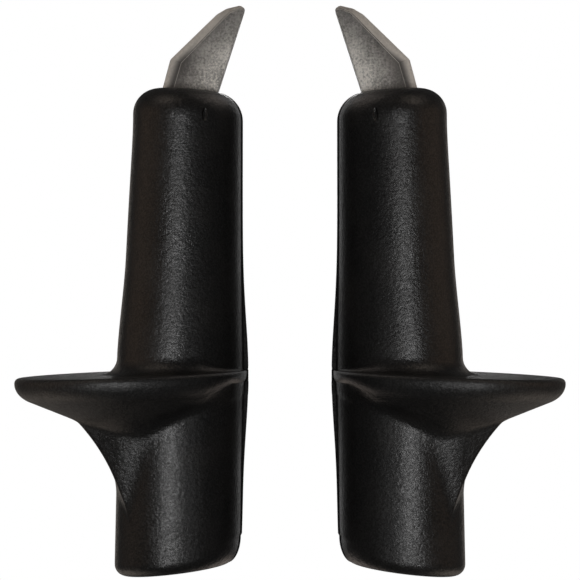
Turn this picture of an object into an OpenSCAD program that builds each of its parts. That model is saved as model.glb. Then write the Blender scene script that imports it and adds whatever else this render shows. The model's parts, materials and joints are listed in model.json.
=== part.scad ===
// Pair of pole tip ferrules with one-sided baskets and carbide chisel blades.
// Each ferrule is one moulding around its blade and has a blind socket for a round pole shaft.
// Z runs along both sockets towards the blades, and the two ferrules face each other along X.

/* [Pair] */
// Distance between the two socket axes
axis_gap = 24.5; // [20:0.5:60]

/* [Shaft socket] */
// Diameter of the round socket for the pole shaft
socket_d = 10.2; // [9.2:0.1:10.8]
// Height of the blind end of the socket above the lowest point of the mouth
socket_top = 31; // [27:0.5:38]

/* [Sleeve and upper body] */
// Radius of the sleeve around the socket
sleeve_r = 6.85; // [6.6:0.05:7.4]
// Height of the blade end of the body on the axis
head_z = 53.3; // [50:0.1:56]
// Distance of the body's back from the socket axis at its blade end
head_back = 4.85; // [4.4:0.05:5.6]
// Distance of the body's front from the socket axis at its blade end
head_front = 6.9; // [6.4:0.05:7.4]
// Height of the flare at the root of the body's back
back_flare = 0.4; // [0:0.05:0.6]
// Rise of the mouth plane from the back to the front, in degrees
mouth_slope = 7; // [0:0.2:9]
// Fall of the blade end of the body from the back to the front, in degrees
head_slope = 3.6; // [0:0.1:8]
// Radius of the rounded mouth edge
mouth_edge_r = 1.4; // [0.4:0.1:1.5]
// Extra height of the rounded mouth edge at the front
mouth_front_rise = 1.4; // [0:0.1:2]
// How much the front draws in towards the mouth
mouth_taper = 0.26; // [0:0.02:0.4]
// How much the back widens towards the mouth
mouth_flare = 0.2; // [0:0.02:0.4]
// Radius of the rounded edge at the blade end
head_edge_r = 3; // [0.6:0.1:3.2]

/* [Front spine] */
// Height of the moulded spine above the front of the body
spine_h = 0.18; // [0.1:0.02:0.4]
// Extra height of the spine beside the basket
spine_swell = 0.35; // [0:0.05:0.6]
// Swell of the body's front beside the basket
front_swell = 0.3; // [0:0.05:0.4]

/* [Basket] */
// Radius of the round basket plate
basket_r = 12.75; // [12:0.05:14]
// How far the basket's centre lies behind the socket axis
basket_back = 5.25; // [4.6:0.05:6]
// Height of the basket's flat face on the socket axis
basket_z = 22.25; // [21:0.05:26]
// Rise of the flat face from the back to the front, in degrees
basket_slope = 2; // [0:0.1:4]
// Radius of the fillet between the flat face and the body
root_fillet = 1.9; // [0.6:0.1:2.2]
// Height where the basket's underside meets the sleeve at the side
under_z = 17.6; // [17:0.1:19]
// How much higher the underside meets the sleeve at the front than at the side
under_rise = 2.4; // [2:0.1:3]
// Height of the straight part of the basket's edge
rim_nose = 0.6; // [0.4:0.02:1]
// Half width of the oval round under the edge
rim_oval_in = 3.2; // [2:0.1:3.6]
// Half height of the oval round under the edge
rim_oval_down = 2.3; // [1.6:0.05:2.6]

/* [Gusset] */
// Radius of the gusset's hollow back
gusset_r = 20; // [16:0.2:22]
// Height where the gusset's back turns straight
gusset_z = 10.2; // [10:0.1:11]
// Distance of the gusset's back from the socket axis at that height
gusset_s = 6.78; // [6.7:0.02:7.3]
// Lean of the straight foot from the vertical, in degrees
gusset_lean = 20; // [18:0.5:26]
// How far the gusset's back curves away at its sides
gusset_crown = 0.45; // [0.1:0.05:0.8]
// Half width of the gusset at its foot
gusset_w = 4.55; // [4:0.05:5]
// How much the half width grows per millimetre of height above the foot
gusset_flare = 0.15; // [0.05:0.01:0.18]
// How much the gusset's sides are drawn in towards the back, in degrees
gusset_draw = 21; // [6:1:26]

/* [Blade] */
// Thickness of the blade
blade_t = 2.6; // [2:0.1:3]
// Thickness left at the bevelled back edges
blade_land = 1; // [0.6:0.1:1.4]
// Height of the blade's tip
blade_z = 62.55; // [60:0.05:64]
// Height of the blade's foot inside the body
blade_foot_z = 41; // [38:0.5:44]
// Width of the bevel along the upright back edge
bevel_w = 1.2; // [0.6:0.1:1.4]
// Width of the bevel along the slanted edge
bevel_tip_w = 0.7; // [0.4:0.1:0.9]
// Diameter of the locking hole that the moulding fills
lock_d = 2.4; // [1.6:0.1:2.8]

/* [Hidden] */

$fn = 64;
under_rings = 15;                               // rings from the mouth up to the basket's edge
rim_top_r = 0.55;                               // round between the basket's edge and its flat face
rim_oval_end = 62;                              // where the oval round ends, in degrees
rim_full = 3;                                   // overhang at which the edge has its full depth
rim_least = 0.5;                                // the edge's depth beside the spine, as a share
foot_z = 5.5;                                   // height where the gusset's foot has run out
flare_low = 24;                                 // the body's back flares out between these heights
flare_high = 35;
taper_z = 9;                                    // the mouth's taper and flare start at this height
spine_mid = 22;                                 // height at the middle of the swell
spine_reach = 8.5;                              // how far the swell fades upwards and downwards
spine_half = 3.2;                               // half angle of the spine, in degrees
body_rings = [26.5, 29, 32, 35, 40, 45];        // heights of the rings between fillet and blade end
gusset_fade = 0.33;                             // share of a right angle over which its sides fade in
gusset_hinge = 4.4;                             // distance behind the axis of the side's first flat
gusset_near = 5;                                // how much that flat is drawn in, in degrees
gusset_bend = 5.4;                              // distance behind the axis where the second flat starts
foot_blend = 0.5;                               // how far the gusset fades into the sleeve
valley_blend = 0.7;                             // how far the underside fades into the sleeve
valley_side = 2.2;                              // extra softness of that valley beside the gusset
valley_side_at = 122;                           // the angle where it is softest, from the front

// Angles around the socket axis, from the front; the basket is widest at one of them
wide = atan2(basket_r, -basket_back);
half_turn = concat([0, 1.6, spine_half],
    [for (i = [1:17]) spine_half + (wide - spine_half) * i / 17],
    [for (i = [1:11]) wide + (180 - wide) * i / 11]);
turn = concat(half_turn, [for (i = [len(half_turn) - 2:-1:1]) 360 - half_turn[i]]);

function clipped(t, low, high) = max(low, min(high, t));
function smooth(t) = let (u = clipped(t, 0, 1)) u * u * (3 - 2 * u);
// The larger of two distances, with a soft valley between the surfaces
function blended(a, b, soft) = max(a, b) + pow(max(0, soft - abs(a - b)), 2) / (4 * soft);

// Polar distance from the socket axis to a circle of radius r whose centre is c towards the front
function offset_circle(r, c, a) = c * cos(a) + sqrt(r * r - pow(c * sin(a), 2));
function swell(z) = exp(-pow((z - spine_mid) / spine_reach, 2));
function spine(z, a) =
    let (off = abs(a > 180 ? a - 360 : a) / spine_half)
    (spine_h + spine_swell * swell(z)) * smooth((1 - off) * 1.6);
function front_side(a) = max(0, cos(a));
function back_side(a) = max(0, -cos(a));

// The moulding's radius at a height and an angle: the sleeve below the basket, the leaning body above it
function body_r(z, a) =
    let (
        lean = max(0, (z - basket_z) / (head_z - basket_z)),
        flare = back_flare * smooth((flare_high - z) / (flare_high - flare_low)),
        back = sleeve_r - back_flare + (head_back - sleeve_r + back_flare) * lean + flare,
        front = sleeve_r + (head_front - sleeve_r) * lean,
        low = clipped(1 - z / taper_z, 0, 1))
    offset_circle((front + back) / 2, (front - back) / 2, a)
    + (front_swell * swell(z) - mouth_taper * low * low) * pow(front_side(a), 3)
    + mouth_flare * low * pow(back_side(a), 2)
    + spine(z, a);

// The gusset: a hollow arc that ends in a straight foot, with a slight crown and flared sides.
// Each side is two flats, the rear one drawn in more.
arc_s = gusset_s + gusset_r * cos(gusset_lean);
arc_z = gusset_z - gusset_r * sin(gusset_lean);
function gusset_back(z) =
    z < gusset_z ? gusset_s - (gusset_z - z) * tan(gusset_lean)
    : arc_s - sqrt(max(0, gusset_r * gusset_r - pow(z - arc_z, 2)));
function gusset_polar(z, a) =
    let (
        back = back_side(a),
        side = abs(sin(a)),
        half = gusset_w + gusset_flare * (z - foot_z),
        far = gusset_back(z),
        curve = 4 * gusset_crown * far * pow(side / half, 2),
        crowned = 2 * far / (back + sqrt(cos(a) * cos(a) + curve)),
        near = (half + gusset_hinge * tan(gusset_near)) / max(side + back * tan(gusset_near), 0.001),
        bent = half - (gusset_bend - gusset_hinge) * tan(gusset_near) + gusset_bend * tan(gusset_draw),
        rear = bent / max(side + back * tan(gusset_draw), 0.001),
        flank = -blended(-near, -rear, 0.5))
    -blended(-crowned, -flank, 0.2) * smooth(back / gusset_fade);

// The basket: its rim, its flat face and its conical underside
function basket_edge(a) = blended(offset_circle(basket_r, -basket_back, a), body_r(basket_z, a), 0.15);
function basket_face(s) = basket_z + s * tan(basket_slope);
function overhang(a) = basket_edge(a) - body_r(basket_z, a);
function rim_scale(a) = clipped(overhang(a) / rim_full, rim_least, 1);
function oval_in(a) = min(rim_oval_in * rim_scale(a), 0.75 * overhang(a) / (1 - cos(rim_oval_end)));
function edge_point(a, q) = [
    basket_edge(a) - oval_in(a) * (1 - cos(q)),
    basket_face(basket_edge(a) * cos(a)) - (rim_nose + rim_oval_down * sin(q)) * rim_scale(a)];
function valley(a) = under_z + under_rise * cos(a);
function underside(z, a) =
    let (p = edge_point(a, rim_oval_end), share = (z - valley(a)) / (p[1] - valley(a)))
    body_r(z, a) + share * (share < 0 ? max(1, p[0] - body_r(z, a)) : p[0] - body_r(z, a));
function lower_r(z, a) =
    let (
        sleeve = blended(body_r(z, a), gusset_polar(z, a), foot_blend),
        beside = exp(-pow(((a > 180 ? 360 - a : a) - valley_side_at) / 26, 2)),
        soft = valley_blend * clipped(overhang(a), 0.1, 1) + valley_side * beside)
    blended(sleeve, underside(z, a), soft);

mouth_low = sleeve_r + mouth_flare * (1 - mouth_edge_r / taper_z) - mouth_edge_r;
function mouth_plane(s) = (s + mouth_low) * tan(mouth_slope);
function head_plane(s) = head_z - s * tan(head_slope);
function rising(n) = [for (i = [0:n]) 90 * i / n];

// One outline of the moulding, from its mouth to its blade end, as [distance from the axis, height]
function outline(a) =
    let (
        c = cos(a),
        mouth_r = body_r(mouth_edge_r, a),
        mouth_h = mouth_edge_r + mouth_front_rise * pow(front_side(a), 2),
        mouth = [for (q = rising(4))
            let (r = mouth_r - mouth_edge_r * (1 - sin(q)))
            [r, mouth_plane(r * c) + mouth_h * (1 - cos(q))]],
        low_z = mouth[4][1],
        top_z = edge_point(a, rim_oval_end)[1],
        lower = [for (i = [1:under_rings - 1])
            let (z = low_z + (top_z - low_z) * i / under_rings)
            [lower_r(z, a), z]],
        oval = [for (q = [rim_oval_end, 42, 21, 0]) edge_point(a, q)],
        edge = basket_edge(a),
        face = basket_face(edge * c),
        top_r = min(rim_top_r, 0.4 * overhang(a) + 0.02),
        top = [for (q = [0, 45, 90]) [edge - top_r * (1 - cos(q)), face - top_r * (1 - sin(q))]],
        base = body_r(basket_z + root_fillet, a),
        room = edge - top_r - body_r(basket_z, a),
        fillet_r = clipped(0.8 * room, 0.02, root_fillet),
        fillet = [for (q = rising(5))
            let (r = base + fillet_r * (1 - sin(q)))
            [r, basket_face(r * c) + fillet_r * (1 - cos(q))]],
        shaft = [for (z = body_rings) [body_r(z, a), z]],
        head_r = body_r(head_z - head_edge_r, a),
        head = [for (q = rising(6))
            let (r = head_r - head_edge_r * (1 - cos(q)))
            [r, head_plane(r * c) - head_edge_r * (1 - sin(q))]]
    )
    concat(mouth, lower, oval, top, fillet, shaft, head);

module moulding() {
    around = len(turn);
    rows = [for (a = turn) outline(a)];
    n = len(rows[0]);
    points = [for (j = [0:around - 1]) for (p = rows[j]) [p[0] * cos(turn[j]), p[0] * sin(turn[j]), p[1]]];
    skin = [for (j = [0:around - 1]) for (i = [0:n - 2])
        let (k = (j + 1) % around)
        [j * n + i, j * n + i + 1, k * n + i + 1, k * n + i]];
    mouth_cap = [for (j = [0:around - 1]) j * n];
    head_cap = [for (j = [around - 1:-1:0]) j * n + n - 1];
    polyhedron(points = points, faces = concat(skin, [mouth_cap], [head_cap]), convexity = 6);
}

// The blade's outline in the plane of symmetry, as [towards the front, height]
front_foot = 4.4;
front_lean = 17.9;                              // lean of the straight front edge, in degrees
back_foot = -1.65;
back_lean = 15;                                 // lean of the upright back edge, in degrees
shoulder_z = 56.6;
crown = [[4.2, 1], [5.3, 0.35], [6.8, 0]];      // chiselled end: [towards the front, below the tip]
visible_z = 52.2;                               // the blade's outline starts to lean here
function front_at(z) = front_foot + (z - visible_z - 1) * tan(front_lean);
function back_at(z) = back_foot + (z - visible_z - 1.6) * tan(back_lean);
blade_back = concat([[back_at(visible_z), visible_z], [back_at(shoulder_z), shoulder_z]],
    [[crown[0][0], blade_z - crown[0][1]]]);
blade_outline = concat(blade_back,
    [for (i = [1:2]) [crown[i][0], blade_z - crown[i][1]]],
    [[front_at(blade_z - 0.35), blade_z - 0.35], [front_at(visible_z), visible_z]]);
// The face left inside the bevels
face_outline = [
    [back_at(visible_z) + bevel_w, visible_z],
    [back_at(shoulder_z) + bevel_w, shoulder_z - bevel_w * 0.35],
    [crown[0][0] + bevel_tip_w * 0.9, blade_z - crown[0][1] - bevel_tip_w * 0.9],
    [crown[1][0] + bevel_tip_w * 0.5, blade_z - crown[1][1] - bevel_tip_w * 0.7],
    [crown[2][0], blade_z - bevel_tip_w * 0.6],
    [front_at(blade_z - 0.6), blade_z - 0.6],
    [front_at(visible_z), visible_z]];

module upright_plate(outline_points, thickness) {
    rotate([90, 0, 0]) linear_extrude(height = thickness, center = true) polygon(outline_points);
}

module blade_solid() {
    hull() {
        upright_plate(blade_outline, blade_land);
        upright_plate(face_outline, blade_t);
    }
    difference() {
        translate([back_at(visible_z), -blade_t / 2, blade_foot_z])
            cube([front_at(visible_z) - back_at(visible_z), blade_t, visible_z - blade_foot_z]);
        translate([1.3, 0, blade_foot_z + 4]) rotate([90, 0, 0])
            cylinder(d = lock_d, h = blade_t + 2, center = true);
    }
}

module ferrule_body() {
    difference() {
        moulding();
        translate([0, 0, -1]) cylinder(d = socket_d, h = socket_top + 1);
        blade_solid();
    }
}

// The left ferrule's front looks along +X, and the right one is the same part turned half round
module place_left() { translate([-axis_gap / 2, 0, 0]) children(); }
module place_right() { translate([axis_gap / 2, 0, 0]) rotate([0, 0, 180]) children(); }

module left_ferrule_body() { color("#1b1a1a") place_left() ferrule_body(); }
module left_carbide_blade() { color("#77756f") place_left() blade_solid(); }
module right_ferrule_body() { color("#1b1a1a") place_right() ferrule_body(); }
module right_carbide_blade() { color("#77756f") place_right() blade_solid(); }

left_ferrule_body();
left_carbide_blade();
right_ferrule_body();
right_carbide_blade();
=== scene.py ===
"""A pair of black moulded pole tip ferrules with one-sided baskets and sintered carbide blades."""
import bmesh
import bpy
import json
import math
import numpy as np
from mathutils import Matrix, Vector


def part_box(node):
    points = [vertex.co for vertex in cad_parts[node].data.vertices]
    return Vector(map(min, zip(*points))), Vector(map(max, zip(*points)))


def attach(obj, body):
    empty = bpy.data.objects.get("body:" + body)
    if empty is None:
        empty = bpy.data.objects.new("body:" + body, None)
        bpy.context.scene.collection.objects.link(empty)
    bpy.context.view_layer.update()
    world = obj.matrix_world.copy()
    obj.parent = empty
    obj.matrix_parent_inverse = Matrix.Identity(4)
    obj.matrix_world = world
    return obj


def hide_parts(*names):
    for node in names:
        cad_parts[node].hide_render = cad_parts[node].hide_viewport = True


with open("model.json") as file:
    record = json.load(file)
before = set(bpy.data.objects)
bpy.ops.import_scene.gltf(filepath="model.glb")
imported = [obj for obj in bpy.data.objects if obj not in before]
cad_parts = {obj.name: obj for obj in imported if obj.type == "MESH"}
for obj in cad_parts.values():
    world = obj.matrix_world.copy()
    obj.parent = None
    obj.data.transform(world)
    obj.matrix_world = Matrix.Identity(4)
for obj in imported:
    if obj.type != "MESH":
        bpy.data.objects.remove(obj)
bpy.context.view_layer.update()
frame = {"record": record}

MM = 0.001

# ---------------------------------------------------------------- sizes from the frame, in millimetres
SOCKETS = {m["name"]: m for m in frame["record"]["mounts"]}
LEFT_X = SOCKETS["left_socket"]["pos_m"][0] / MM
RIGHT_X = SOCKETS["right_socket"]["pos_m"][0] / MM
SOCKET_R = SOCKETS["left_socket"]["dims"]["r_mm"]

body_low, body_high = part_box("left_ferrule_body")
blade_low, blade_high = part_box("left_carbide_blade")
BASKET_R = (body_high[1] - body_low[1]) / MM / 2
BASKET_BACK = (LEFT_X - body_low[0] / MM) - BASKET_R
BLADE_Z = blade_high[2] / MM
BLADE_FOOT_Z = blade_low[2] / MM
BLADE_T = (blade_high[1] - blade_low[1]) / MM

# The moulding's own sizes, as in the CAD
SOCKET_TOP = 31.0
SLEEVE_R = 6.85
HEAD_Z = 53.3
HEAD_BACK, HEAD_FRONT = 4.85, 6.9              # distances from the socket axis at the blade end
BACK_FLARE, FLARE_LOW, FLARE_HIGH = 0.4, 24.0, 35.0
MOUTH_SLOPE, HEAD_SLOPE = math.tan(math.radians(7.0)), math.tan(math.radians(3.6))
MOUTH_EDGE_R, HEAD_EDGE_R = 1.4, 3.0
MOUTH_FRONT_RISE = 1.4                          # extra height of the mouth's rounded edge at the front
MOUTH_TAPER, MOUTH_TAPER_Z = 0.26, 9.0          # how much the sleeve's front draws in towards the mouth
MOUTH_FLARE = 0.2                               # how much the sleeve's back widens there
SPINE_H, SPINE_SWELL, FRONT_SWELL = 0.18, 0.35, 0.3
SPINE_MID, SPINE_REACH, SPINE_HALF = 22.0, 8.5, 3.2
BASKET_Z, BASKET_SLOPE = 22.25, math.tan(math.radians(2.0))
ROOT_FILLET = 1.9
UNDER_Z, UNDER_RISE = 17.6, 2.4
GUSSET_R, GUSSET_Z, GUSSET_S = 20.0, 10.2, 6.78
GUSSET_LEAN = math.radians(20)
GUSSET_CROWN = 0.45                             # how far the gusset's back curves away at its sides
GUSSET_W, GUSSET_FLARE, FOOT_Z = 4.55, 0.15, 5.5
GUSSET_FADE = 0.33                              # its sides fade in behind the middle of the sleeve
GUSSET_HINGE, GUSSET_BEND = 4.4, 5.4            # distances behind the axis where its sides start and bend
GUSSET_NEAR, GUSSET_DRAW = math.tan(math.radians(5)), math.tan(math.radians(21))
FOOT_BLEND, VALLEY_BLEND = 0.5, 0.7
VALLEY_SIDE, VALLEY_SIDE_AT, VALLEY_SIDE_SPREAD = 2.2, 122.0, 26.0    # the valley is softer beside the gusset
RIM_FULL, RIM_LEAST = 3.0, 0.5

# Basket edge, seen in section: a small round at the flat face, a big oval round below
RIM_TOP_R = 0.55
RIM_NOSE = 0.6
RIM_OVAL_IN, RIM_OVAL_DOWN = 3.2, 2.3
RIM_OVAL_END = math.radians(62)

# Openings: the socket's blind end is rounded, and its mouth has a small lead-in
SOCKET_END_R = 0.3
LEAD_IN_OUT, LEAD_IN_UP = 0.22, 0.4
POCKET_GAP = 0.03                               # between the blade and its pocket
POCKET_LEVELS = (51.5, 50.0, 46.0)

# Blade: its front and back edges both lean forwards, and a shoulder ends the straight back edge
FRONT_LEAN, BACK_LEAN = math.tan(math.radians(17.9)), math.tan(math.radians(15))
VISIBLE_Z, SHOULDER_Z = 52.2, 56.6
BLADE_FRONT, BLADE_FRONT_UP = 4.4, 1.0          # distance from the axis, and how high over VISIBLE_Z
BLADE_BACK, BLADE_BACK_UP = -1.65, 1.6
BEVEL_W, BEVEL_TIP_W, BLADE_LAND = 1.2, 0.7, 1.0
CROWN = [(4.2, 1.0), (5.3, 0.35), (6.8, 0.0)]   # the blade's top: distance from the axis, depth below the tip
BLADE_ROUND = 0.09                              # small round on the blade's sharp edges
WELD = 0.00001                                  # vertices closer than this, in metres, are one


# ---------------------------------------------------------------- the moulding, by angle and height
def smooth(t):
    t = np.clip(t, 0, 1)
    return t * t * (3 - 2 * t)


def blended(a, b, soft):
    """The larger of two distances, with a soft valley between the surfaces."""
    return np.maximum(a, b) + np.maximum(0, soft - np.abs(a - b)) ** 2 / (4 * soft)


def offset_circle(r, c, a):
    return c * np.cos(a) + np.sqrt(r * r - (c * np.sin(a)) ** 2)


def swell(z):
    return np.exp(-((z - SPINE_MID) / SPINE_REACH) ** 2)


def spine(z, a):
    """A narrow round ridge down the front."""
    off = np.degrees(np.arctan2(np.sin(a), np.cos(a))) / SPINE_HALF
    return (SPINE_H + SPINE_SWELL * swell(z)) * smooth((1 - np.abs(off)) * 1.6)


def body_r(z, a):
    lean = np.clip((z - BASKET_Z) / (HEAD_Z - BASKET_Z), 0, None)
    flare = BACK_FLARE * smooth((FLARE_HIGH - z) / (FLARE_HIGH - FLARE_LOW))
    back = SLEEVE_R - BACK_FLARE + (HEAD_BACK - SLEEVE_R + BACK_FLARE) * lean + flare
    front = SLEEVE_R + (HEAD_FRONT - SLEEVE_R) * lean
    round_part = offset_circle((front + back) / 2, (front - back) / 2, a)
    front_side = np.maximum(0, np.cos(a)) ** 3
    taper = MOUTH_TAPER * np.clip(1 - z / MOUTH_TAPER_Z, 0, 1) ** 2
    foot = MOUTH_FLARE * np.clip(1 - z / MOUTH_TAPER_Z, 0, 1) * np.maximum(0, -np.cos(a)) ** 2
    return round_part + (FRONT_SWELL * swell(z) - taper) * front_side + foot + spine(z, a)


def gusset_back(z):
    arc_s = GUSSET_S + GUSSET_R * math.cos(GUSSET_LEAN)
    arc_z = GUSSET_Z - GUSSET_R * math.sin(GUSSET_LEAN)
    arc = arc_s - np.sqrt(np.maximum(0, GUSSET_R ** 2 - (z - arc_z) ** 2))
    return np.where(z < GUSSET_Z, GUSSET_S - (GUSSET_Z - z) * math.tan(GUSSET_LEAN), arc)


def gusset_polar(z, a):
    back, side = -np.cos(a), np.abs(np.sin(a))
    half = GUSSET_W + GUSSET_FLARE * (z - FOOT_Z)
    far = gusset_back(z)
    curve = 4 * GUSSET_CROWN * far * (side / half) ** 2
    crowned = 2 * far / (np.maximum(back, 0) + np.sqrt(back ** 2 + curve))
    # Each side is two flats, the rear one drawn in more, with a soft bend between them
    back = np.maximum(back, 0)
    near = (half + GUSSET_HINGE * GUSSET_NEAR) / np.maximum(side + back * GUSSET_NEAR, 0.001)
    bend = half - (GUSSET_BEND - GUSSET_HINGE) * GUSSET_NEAR + GUSSET_BEND * GUSSET_DRAW
    rear = bend / np.maximum(side + back * GUSSET_DRAW, 0.001)
    flank = -blended(-near, -rear, 0.5)
    return -blended(-crowned, -flank, 0.2) * smooth(back / GUSSET_FADE)


def basket_edge(a):
    """The basket's rim, which runs into the spine at the front."""
    return blended(offset_circle(BASKET_R, -BASKET_BACK, a), body_r(BASKET_Z, a), 0.15)


def overhang(a):
    return basket_edge(a) - body_r(BASKET_Z, a)


def basket_face(s):
    return BASKET_Z + s * BASKET_SLOPE


def rim_scale(a):
    return np.clip(overhang(a) / RIM_FULL, RIM_LEAST, 1)


def oval_in(a):
    """Half width of the oval round under the rim."""
    full = 1 - math.cos(RIM_OVAL_END)
    return np.minimum(RIM_OVAL_IN * rim_scale(a), 0.75 * overhang(a) / full)


def lip(a):
    """Where the basket's underside starts: distance from the axis and height."""
    k, edge = rim_scale(a), basket_edge(a)
    inward = oval_in(a) * (1 - math.cos(RIM_OVAL_END))
    down = RIM_NOSE + RIM_OVAL_DOWN * math.sin(RIM_OVAL_END)
    return edge - inward, basket_face(edge * np.cos(a)) - down * k


def underside(z, a):
    r_lip, z_lip = lip(a)
    valley = UNDER_Z + UNDER_RISE * np.cos(a)
    share = (z - valley) / (z_lip - valley)
    base = body_r(z, a)
    reach = r_lip - base
    return base + share * np.where(share < 0, np.maximum(reach, 1), reach)


def lower_r(z, a):
    with_gusset = blended(body_r(z, a), gusset_polar(z, a), FOOT_BLEND)
    aside = np.degrees(np.arctan2(np.abs(np.sin(a)), np.cos(a))) - VALLEY_SIDE_AT
    beside = VALLEY_SIDE * np.exp(-(aside / VALLEY_SIDE_SPREAD) ** 2)
    soft = VALLEY_BLEND * np.clip(overhang(a), 0.1, 1) + beside
    return blended(with_gusset, underside(z, a), soft)


def mouth_plane(s):
    return (s + SLEEVE_R + MOUTH_FLARE * (1 - MOUTH_EDGE_R / MOUTH_TAPER_Z) - MOUTH_EDGE_R) * MOUTH_SLOPE


def head_plane(s):
    return HEAD_Z - s * HEAD_SLOPE


def quarter(n, first=0.0):
    """n + 1 angles from first to a right angle."""
    return np.linspace(first, math.pi / 2, n + 1)


def slot_r(a, front, back, half):
    """Polar outline of the blade's rectangular section."""
    c, s = np.cos(a), np.abs(np.sin(a))
    along = np.where(c > 0, front / np.maximum(c, 1e-6), back / np.maximum(-c, 1e-6))
    return np.minimum(along, half / np.maximum(s, 1e-6))


def blade_front(z):
    return BLADE_FRONT + (z - VISIBLE_Z - BLADE_FRONT_UP) * FRONT_LEAN


def blade_back(z):
    return BLADE_BACK + (z - VISIBLE_Z - BLADE_BACK_UP) * BACK_LEAN


def around_angles():
    """Angles round the moulding from the front, closer together at the spine and the gusset's corners."""
    even = np.arange(0, 360, 1.5)
    spine_fine = np.arange(-6, 6.01, 0.4) % 360
    corner = np.concatenate([np.arange(110, 160, 0.75), np.arange(200, 250, 0.75)])
    return np.radians(np.unique(np.round(np.concatenate([even, spine_fine, corner]), 3)))


def moulding_rows(a):
    """Rows round the moulding as (distance, height) arrays: socket, outside, blade pocket."""
    c = np.cos(a)
    one = np.ones_like(a)
    rows = []
    # Socket, from the middle of its blind end to its mouth
    for r in (0.6, 1.8, 3.0, 4.2, 4.7):
        rows.append((r * one, SOCKET_TOP * one))
    for q in quarter(4, 0.2):
        rows.append(((SOCKET_R - SOCKET_END_R * (1 - math.sin(q))) * one,
                     (SOCKET_TOP - SOCKET_END_R * (1 - math.cos(q))) * one))
    mouth_in = SOCKET_R + LEAD_IN_OUT
    z_low = mouth_plane(SOCKET_R * c) + LEAD_IN_UP
    for t in np.linspace(0.04, 1, 24):
        rows.append((SOCKET_R * one, (SOCKET_TOP - SOCKET_END_R) * (1 - t) + z_low * t))
    for q in quarter(4, 0.2):
        r = SOCKET_R + (mouth_in - SOCKET_R) * (1 - math.cos(q))
        rows.append((r * one, mouth_plane(r * c) + LEAD_IN_UP * (1 - math.sin(q))))
    # Rounded mouth edge
    mouth_r = body_r(MOUTH_EDGE_R, a)
    rise = MOUTH_EDGE_R + MOUTH_FRONT_RISE * np.maximum(0, c) ** 2
    for q in quarter(12):
        r = mouth_r - MOUTH_EDGE_R * (1 - math.sin(q))
        rows.append((r, mouth_plane(r * c) + rise * (1 - math.cos(q))))
    # Sleeve, gusset and the basket's underside
    z_from = rows[-1][1]
    r_lip, z_lip = lip(a)
    for t in np.linspace(0, 1, 71)[1:]:
        z = z_from + (z_lip - z_from) * t
        rows.append((lower_r(z, a), z))
    # Basket edge
    edge, k = basket_edge(a), rim_scale(a)
    face = basket_face(edge * c)
    for q in np.linspace(RIM_OVAL_END, 0, 15)[1:]:
        rows.append((edge - oval_in(a) * (1 - math.cos(q)),
                     face - (RIM_NOSE + RIM_OVAL_DOWN * math.sin(q)) * k))
    top = np.minimum(RIM_TOP_R, 0.4 * overhang(a))
    for q in quarter(8):
        rows.append((edge - top * (1 - math.cos(q)), face - top * (1 - math.sin(q))))
    # Flat face, fillet and tapering body
    r_flat = rows[-1][0]
    base = body_r(BASKET_Z + ROOT_FILLET, a)
    fillet = np.clip(0.8 * (r_flat - body_r(BASKET_Z, a)), 0.02, ROOT_FILLET)
    r_fillet = base + fillet
    for t in np.linspace(0, 1, 13)[1:-1]:
        r = r_flat + (r_fillet - r_flat) * t
        rows.append((r, basket_face(r * c)))
    for q in quarter(9):
        r = base + fillet * (1 - math.sin(q))
        rows.append((r, basket_face(r * c) + fillet * (1 - math.cos(q))))
    z_from = rows[-1][1]
    top_r = body_r(HEAD_Z - HEAD_EDGE_R, a)
    z_to = head_plane(top_r * c) - HEAD_EDGE_R
    for t in np.linspace(0, 1, 61)[1:]:
        z = z_from + (z_to - z_from) * t
        rows.append((body_r(z, a) * (1 - t ** 8) + top_r * t ** 8, z))
    for q in quarter(12)[1:]:
        r = top_r - HEAD_EDGE_R * (1 - math.cos(q))
        rows.append((r, head_plane(r * c) - HEAD_EDGE_R * (1 - math.sin(q))))
    # Blade end, in to the lip round the blade and down its pocket
    pocket = slot_r(a, blade_front(VISIBLE_Z) + POCKET_GAP, -blade_back(VISIBLE_Z) + POCKET_GAP,
                    BLADE_T / 2 + POCKET_GAP)
    r_head = rows[-1][0]
    for t in np.linspace(0, 1, 9)[1:]:
        r = r_head + (pocket - r_head) * t
        rows.append((r, head_plane(r * c)))
    for z in POCKET_LEVELS + (BLADE_FOOT_Z,):
        rows.append((pocket, z * one))
    rows.append((pocket * 0.4, BLADE_FOOT_Z * one))
    return rows


def mesh_object(name, verts, faces):
    mesh = bpy.data.meshes.new(name)
    mesh.from_pydata(verts, [], faces)
    mesh.validate()
    obj = bpy.data.objects.new(name, mesh)
    bpy.context.scene.collection.objects.link(obj)
    bm = bmesh.new()
    bm.from_mesh(mesh)
    bmesh.ops.recalc_face_normals(bm, faces=bm.faces)
    bm.to_mesh(mesh)
    bm.free()
    mesh.shade_smooth()
    return obj


def place(points, axis_x, turned):
    """From the ferrule's own millimetres to the row frame in metres."""
    sign = -1.0 if turned else 1.0
    out = np.array(points, float)
    out[:, 0] = axis_x + sign * out[:, 0]
    out[:, 1] = sign * out[:, 1]
    return (out * MM).tolist()


def ferrule_body(name, axis_x, turned):
    a = around_angles()
    n = len(a)
    rows = moulding_rows(a)
    points = [np.stack([r * np.cos(a), r * np.sin(a), z], axis=1) for r, z in rows]
    verts = np.concatenate(points + [[[0, 0, SOCKET_TOP]], [[0, 0, BLADE_FOOT_Z]]])
    faces = []
    for i in range(len(rows) - 1):
        for j in range(n):
            k = (j + 1) % n
            faces.append((i * n + j, i * n + k, (i + 1) * n + k, (i + 1) * n + j))
    first, last = len(rows) * n, len(rows) * n + 1
    top = (len(rows) - 1) * n
    for j in range(n):
        k = (j + 1) % n
        faces.append((first, k, j))
        faces.append((last, top + j, top + k))
    obj = mesh_object(name, place(verts, axis_x, turned), faces)
    obj.data.set_sharp_from_angle(angle=math.radians(50))
    return obj


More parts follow.
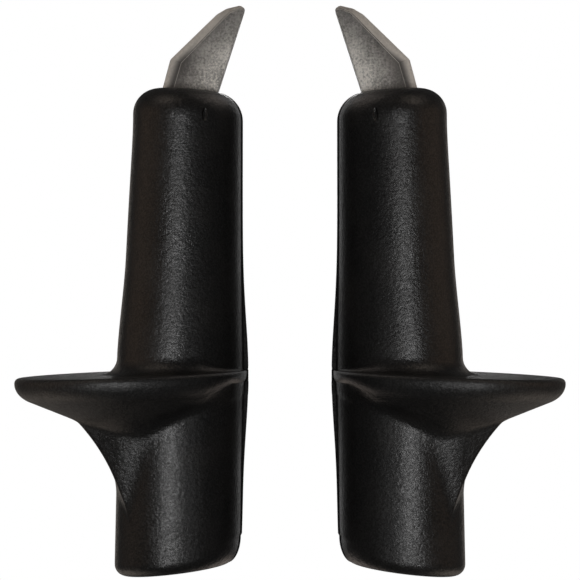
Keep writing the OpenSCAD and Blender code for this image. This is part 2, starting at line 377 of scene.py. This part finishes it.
def blade(name, axis_x, turned):
    low = BLADE_FOOT_Z
    outline = [(blade_back(VISIBLE_Z), low), (blade_back(VISIBLE_Z), VISIBLE_Z),
               (blade_back(SHOULDER_Z), SHOULDER_Z)]
    outline += [(s, BLADE_Z - d) for s, d in CROWN]
    outline += [(blade_front(BLADE_Z - 0.35), BLADE_Z - 0.35), (blade_front(VISIBLE_Z), VISIBLE_Z),
                (blade_front(VISIBLE_Z), low)]
    inner = [(blade_back(VISIBLE_Z), low), (blade_back(VISIBLE_Z) + BEVEL_W, VISIBLE_Z),
             (blade_back(SHOULDER_Z) + BEVEL_W, SHOULDER_Z - BEVEL_W * 0.35),
             (CROWN[0][0] + BEVEL_TIP_W * 0.9, BLADE_Z - CROWN[0][1] - BEVEL_TIP_W * 0.9),
             (CROWN[1][0] + BEVEL_TIP_W * 0.5, BLADE_Z - CROWN[1][1] - BEVEL_TIP_W * 0.7),
             (CROWN[2][0], BLADE_Z - BEVEL_TIP_W * 0.6),
             (blade_front(BLADE_Z - 0.6), BLADE_Z - 0.6), (blade_front(VISIBLE_Z), VISIBLE_Z),
             (blade_front(VISIBLE_Z), low)]
    # Four rings across the thickness: face, land edge, land edge, face
    half, land = BLADE_T / 2, BLADE_LAND / 2
    rings = [[(s, -half, z) for s, z in inner], [(s, -land, z) for s, z in outline],
             [(s, land, z) for s, z in outline], [(s, half, z) for s, z in inner]]
    n = len(outline)
    verts = np.array([p for ring in rings for p in ring], float)
    faces = [tuple(range(n)), tuple(3 * n + j for j in reversed(range(n)))]
    for i in range(3):
        for j in range(n):
            k = (j + 1) % n
            faces.append((i * n + j, i * n + k, (i + 1) * n + k, (i + 1) * n + j))
    obj = mesh_object(name, place(verts, axis_x, turned), faces)
    bm = bmesh.new()
    bm.from_mesh(obj.data)
    bmesh.ops.remove_doubles(bm, verts=bm.verts, dist=WELD)
    bmesh.ops.dissolve_degenerate(bm, edges=bm.edges, dist=WELD)
    sharp = [e for e in bm.edges if len(e.link_faces) == 2 and e.calc_face_angle(0) > math.radians(8)]
    bmesh.ops.bevel(bm, geom=sharp, offset=BLADE_ROUND * MM, segments=3, affect="EDGES", clamp_overlap=True)
    bmesh.ops.recalc_face_normals(bm, faces=bm.faces)
    bm.to_mesh(obj.data)
    bm.free()
    obj.data.shade_smooth()
    obj.data.set_sharp_from_angle(angle=math.radians(35))
    return obj


# ---------------------------------------------------------------- materials
def new_material(name):
    mat = bpy.data.materials.new(name)
    mat.use_nodes = True
    tree = mat.node_tree
    tree.nodes.clear()
    out = tree.nodes.new("ShaderNodeOutputMaterial")
    shader = tree.nodes.new("ShaderNodeBsdfPrincipled")
    tree.links.new(shader.outputs[0], out.inputs[0])
    return mat, tree, shader


def add(tree, kind, **inputs):
    node = tree.nodes.new(kind)
    for key, value in inputs.items():
        node.inputs[key].default_value = value
    return node


def math_of(tree, operation, a, b=0.0, c=0.0):
    """A Math node; a, b and c are sockets or numbers."""
    node = tree.nodes.new("ShaderNodeMath")
    node.operation = operation
    for slot, value in zip(node.inputs, (a, b, c)):
        if isinstance(value, (int, float)):
            slot.default_value = value
        else:
            tree.links.new(value, slot)
    return node.outputs[0]


def remapped(tree, value, low, high, to_low, to_high):
    """Value from low to high becomes to_low to to_high, with soft ends."""
    node = tree.nodes.new("ShaderNodeMapRange")
    node.interpolation_type = "SMOOTHSTEP"
    tree.links.new(value, node.inputs["Value"])
    for key, number in (("From Min", low), ("From Max", high), ("To Min", to_low), ("To Max", to_high)):
        node.inputs[key].default_value = number
    return node.outputs["Result"]


def noise(tree, where, scale, detail, rough):
    """Noise from 0 to 1, with scale cells in a metre."""
    node = add(tree, "ShaderNodeTexNoise", Scale=scale, Detail=detail, Roughness=rough)
    tree.links.new(where, node.inputs["Vector"])
    return node.outputs["Fac"]


def mixed(tree, share, a, b):
    """Colour a where share is 0 and colour b where it is 1."""
    node = tree.nodes.new("ShaderNodeMix")
    node.data_type = "RGBA"
    tree.links.new(share, node.inputs[0])
    node.inputs[6].default_value = a + (1,)
    node.inputs[7].default_value = b + (1,)
    return node.outputs[2]


def position(tree):
    """Where a point of the surface is: as a vector, and as distance from its socket's axis, height and
    distance away from the other ferrule, in millimetres."""
    where = tree.nodes.new("ShaderNodeTexCoord").outputs["Object"]
    parts = tree.nodes.new("ShaderNodeSeparateXYZ")
    tree.links.new(where, parts.inputs[0])
    x = math_of(tree, "SUBTRACT", math_of(tree, "ABSOLUTE", parts.outputs[0]), RIGHT_X * MM)
    r2 = math_of(tree, "ADD", math_of(tree, "MULTIPLY", x, x),
                 math_of(tree, "MULTIPLY", parts.outputs[1], parts.outputs[1]))
    radius = math_of(tree, "MULTIPLY", math_of(tree, "SQRT", r2), 1000.0)
    height = math_of(tree, "MULTIPLY", parts.outputs[2], 1000.0)
    outwards = math_of(tree, "MULTIPLY", x, 1000.0)
    return where, radius, height, outwards


def nylon():
    """Black glass-filled nylon: a fine leathery grain, dusty in patches, duller on the basket."""
    mat, tree, shader = new_material("moulded_nylon")
    where, radius, height, outwards = position(tree)
    grain = noise(tree, where, 2300.0, 4.0, 0.65)
    speck = noise(tree, where, 5200.0, 2.0, 0.5)
    patches = noise(tree, where, 190.0, 3.0, 0.5)
    basket = math_of(tree, "MULTIPLY", remapped(tree, radius, 7.4, 9.0, 0.0, 1.0),
                     remapped(tree, height, 15.5, 17.5, 0.0, 1.0))
    dust = math_of(tree, "MULTIPLY", remapped(tree, patches, 0.35, 0.75, 0.0, 1.0),
                   remapped(tree, grain, 0.3, 0.7, 0.7, 1.0))
    colour = mixed(tree, dust, (0.0062, 0.0058, 0.0056), (0.013, 0.0115, 0.0105))
    tree.links.new(colour, shader.inputs["Base Color"])
    rough = math_of(tree, "ADD", remapped(tree, grain, 0.3, 0.7, 0.30, 0.42),
                    math_of(tree, "MULTIPLY", basket, 0.14))
    rough = math_of(tree, "ADD", rough, remapped(tree, patches, 0.3, 0.7, -0.03, 0.03))
    tree.links.new(rough, shader.inputs["Roughness"])
    shine = math_of(tree, "MULTIPLY", remapped(tree, speck, 0.35, 0.68, 0.42, 0.72),
                    math_of(tree, "ADD", 1.0, math_of(tree, "MULTIPLY", basket, 0.25)))
    tree.links.new(shine, shader.inputs["Specular IOR Level"])
    # A small ejector mark near the blade end, on both flat sides
    across = math_of(tree, "DIVIDE", math_of(tree, "ADD", outwards, 3.05), 0.24)
    along = math_of(tree, "DIVIDE", math_of(tree, "SUBTRACT", height, 50.2), 0.7)
    away = math_of(tree, "SQRT", math_of(tree, "ADD", math_of(tree, "MULTIPLY", across, across),
                                         math_of(tree, "MULTIPLY", along, along)))
    mark = remapped(tree, away, 0.5, 1.2, -4.0, 0.0)
    bump = add(tree, "ShaderNodeBump", Strength=1.0, Distance=0.00007)
    tree.links.new(math_of(tree, "ADD", grain, mark), bump.inputs["Height"])
    tree.links.new(bump.outputs[0], shader.inputs["Normal"])
    return mat


def carbide():
    """Sintered carbide: a grey sparkling grain, with painted highlight in its colour along the bevel faces
    and towards the lower front.
    """
    mat, tree, shader = new_material("sintered_carbide")
    where, radius, height, outwards = position(tree)
    grain = noise(tree, where, 3800.0, 3.0, 0.65)
    cloud = noise(tree, where, 420.0, 2.0, 0.5)
    tone = math_of(tree, "ADD", math_of(tree, "MULTIPLY", grain, 0.6), math_of(tree, "MULTIPLY", cloud, 0.4))
    # Distance towards the front of the leaning blade: it grows from its back edge to its front edge
    front = math_of(tree, "SUBTRACT", math_of(tree, "MULTIPLY", outwards, -1.0),
                    math_of(tree, "MULTIPLY", math_of(tree, "SUBTRACT", height, VISIBLE_Z), FRONT_LEAN))
    # Painted highlight: the colour grows lighter towards the blade's front and its bottom and darker towards
    # its top, where light and shade fall; the grain and cloud still vary it at random
    painted_front_highlight = remapped(tree, front, -2.0, 4.0, 0.0, 1.0)
    low = remapped(tree, height, VISIBLE_Z, BLADE_Z, 0.95, 0.25)
    share = math_of(tree, "MULTIPLY", math_of(tree, "MULTIPLY", painted_front_highlight, low),
                    remapped(tree, tone, 0.35, 0.65, 0.3, 1.6))
    # Painted highlight: faces turned away from the blade's flat sides, the bevel faces, are given a lighter
    # colour by the way they face, standing in for the light they catch
    facing = tree.nodes.new("ShaderNodeSeparateXYZ")
    tree.links.new(tree.nodes.new("ShaderNodeTexCoord").outputs["Normal"], facing.inputs[0])
    flat = math_of(tree, "ABSOLUTE", facing.outputs[1])
    bevel_facing_highlight = remapped(tree, flat, 0.86, 0.96, 0.8, 0.0)
    painted_bevel_highlight = math_of(tree, "MULTIPLY", bevel_facing_highlight, remapped(tree, tone, 0.3, 0.7, 0.8, 1.15))
    share = math_of(tree, "MAXIMUM", share, painted_bevel_highlight)
    # The dark tone is the carbide's own colour; the light tone is painted highlight
    tree.links.new(mixed(tree, share, (0.075, 0.07, 0.067), (0.88, 0.84, 0.78)), shader.inputs["Base Color"])
    tree.links.new(remapped(tree, grain, 0.3, 0.7, 0.42, 0.72), shader.inputs["Roughness"])
    shader.inputs["Metallic"].default_value = 0.25
    bump = add(tree, "ShaderNodeBump", Strength=1.0, Distance=0.00008)
    tree.links.new(grain, bump.inputs["Height"])
    tree.links.new(bump.outputs[0], shader.inputs["Normal"])
    return mat


NYLON, CARBIDE = nylon(), carbide()
for side, axis_x, turned in (("left", LEFT_X, False), ("right", RIGHT_X, True)):
    moulding = ferrule_body(side + "_ferrule_moulding", axis_x, turned)
    tip = blade(side + "_blade_tip", axis_x, turned)
    moulding.data.materials.append(NYLON)
    tip.data.materials.append(CARBIDE)
    for piece, node, slot in ((moulding, side + "_ferrule_body", "moulded_nylon"),
                              (tip, side + "_carbide_blade", "sintered_carbide")):
        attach(piece, side + "_ferrule")
        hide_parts(node)

# ---------------------------------------------------------------- camera
CENTRE_Z = 31.3 * MM
CAMERA_Y = -0.26
FRAME_WIDTH = 63.8 * MM
camera_data = bpy.data.cameras.new("camera")
camera_data.sensor_width = 36.0
camera_data.lens = 36.0 * -CAMERA_Y / FRAME_WIDTH
camera_data.clip_start = 0.01
camera = bpy.data.objects.new("camera", camera_data)
camera.location = (0, CAMERA_Y, CENTRE_Z)
camera.rotation_euler = (math.pi / 2, 0, 0)
bpy.context.scene.collection.objects.link(camera)
bpy.context.scene.camera = camera

# ---------------------------------------------------------------- studio
def stage_material(name, strength):
    mat = bpy.data.materials.new(name)
    mat.use_nodes = True
    tree = mat.node_tree
    tree.nodes.clear()
    out = tree.nodes.new("ShaderNodeOutputMaterial")
    glow = tree.nodes.new("ShaderNodeEmission")
    glow.inputs["Strength"].default_value = strength
    tree.links.new(glow.outputs[0], out.inputs[0])
    return mat


def only_seen(obj):
    """The camera sees this object, but it neither lights nor mirrors in the ferrules."""
    obj.visible_diffuse = False
    obj.visible_glossy = False
    obj.visible_transmission = False
    obj.visible_shadow = False


def stage_mesh(name, build, mat):
    mesh = bpy.data.meshes.new(name)
    bm = bmesh.new()
    build(bm)
    bm.to_mesh(mesh)
    bm.free()
    mesh.materials.append(mat)
    obj = bpy.data.objects.new(name, mesh)
    bpy.context.scene.collection.objects.link(obj)
    only_seen(obj)
    return obj


PALE = stage_material("pale_studio", 1.0)
stage_mesh("floor", lambda bm: bmesh.ops.create_grid(bm, x_segments=1, y_segments=1, size=1.6), PALE)
stage_mesh("backdrop",
           lambda bm: bmesh.ops.create_uvsphere(bm, u_segments=32, v_segments=16, radius=1.5), PALE)


def softbox(name, azimuth, elevation, distance, size, radiance, colour=(1, 1, 1), target=None, only=None):
    """A soft light seen from the pair at that azimuth, 0 at the camera's side and 90 on the right."""
    aim = Vector(target or (0, 0, CENTRE_Z))
    a, e = math.radians(azimuth), math.radians(elevation)
    away = Vector((math.sin(a) * math.cos(e), -math.cos(a) * math.cos(e), math.sin(e)))
    data = bpy.data.lights.new(name, "AREA")
    data.shape = "RECTANGLE"
    data.size, data.size_y = size
    data.energy = radiance * math.pi * size[0] * size[1]
    data.color = colour
    light = bpy.data.objects.new(name, data)
    light.location = aim + away * distance
    light.rotation_euler = away.to_track_quat("Z", "Y").to_euler()
    light.visible_camera = False
    bpy.context.scene.collection.objects.link(light)
    if only:
        lit = bpy.data.collections.new(name + "_lit")
        for obj in only:
            lit.objects.link(obj)
        light.light_linking.receiver_collection = lit
    return light


# Lamps of the right ferrule: name, azimuth, elevation, distance, size, radiance and colour.
# The left ferrule's are their mirror image, and each set lights its own ferrule only.
WHITE = (1, 1, 1)
LAMPS = (
    ("key", 14, -7, 0.3, (0.055, 0.13), 12.0, WHITE),
    ("warm", 82, 9, 0.35, (0.4, 0.2), 0.3, (1.0, 0.7, 0.5)),
    ("low", -148, -40, 0.3, (0.14, 0.14), 0.8, (1.0, 0.85, 0.75)),
    ("low_back", 118, -48, 0.3, (0.18, 0.18), 0.8, (1.0, 0.85, 0.72)),
    ("edge", -154, 12, 0.3, (0.08, 0.32), 0.55, WHITE),
    ("front", -24, -13, 0.3, (0.07, 0.08), 1.4, WHITE),
    ("top", -115, 55, 0.3, (0.2, 0.2), 0.8, (1.0, 0.88, 0.8)),
    ("rim", 60, 55, 0.3, (0.14, 0.14), 1.1, (1.0, 0.85, 0.72)),
    ("rear", 156, -10, 0.3, (0.07, 0.3), 0.5, (1.0, 0.9, 0.8)),
)
for side, sign, axis_x in (("left", -1, LEFT_X), ("right", 1, RIGHT_X)):
    own = [bpy.data.objects[side + "_ferrule_moulding"], bpy.data.objects[side + "_blade_tip"]]
    axis = (axis_x * MM, 0, CENTRE_Z)
    for name, azimuth, elevation, distance, size, radiance, colour in LAMPS:
        softbox(side + "_" + name, sign * azimuth, elevation, distance, size, radiance, colour, axis, own)

softbox("behind", 180, 10, 0.3, (0.06, 0.13), 4.5)

world = bpy.data.worlds.new("world")
world.use_nodes = True
world.node_tree.nodes["Background"].inputs[0].default_value = (1, 1, 1, 1)
world.node_tree.nodes["Background"].inputs[1].default_value = 0.06
bpy.context.scene.world = world
bpy.context.scene.view_settings.view_transform = "Standard"
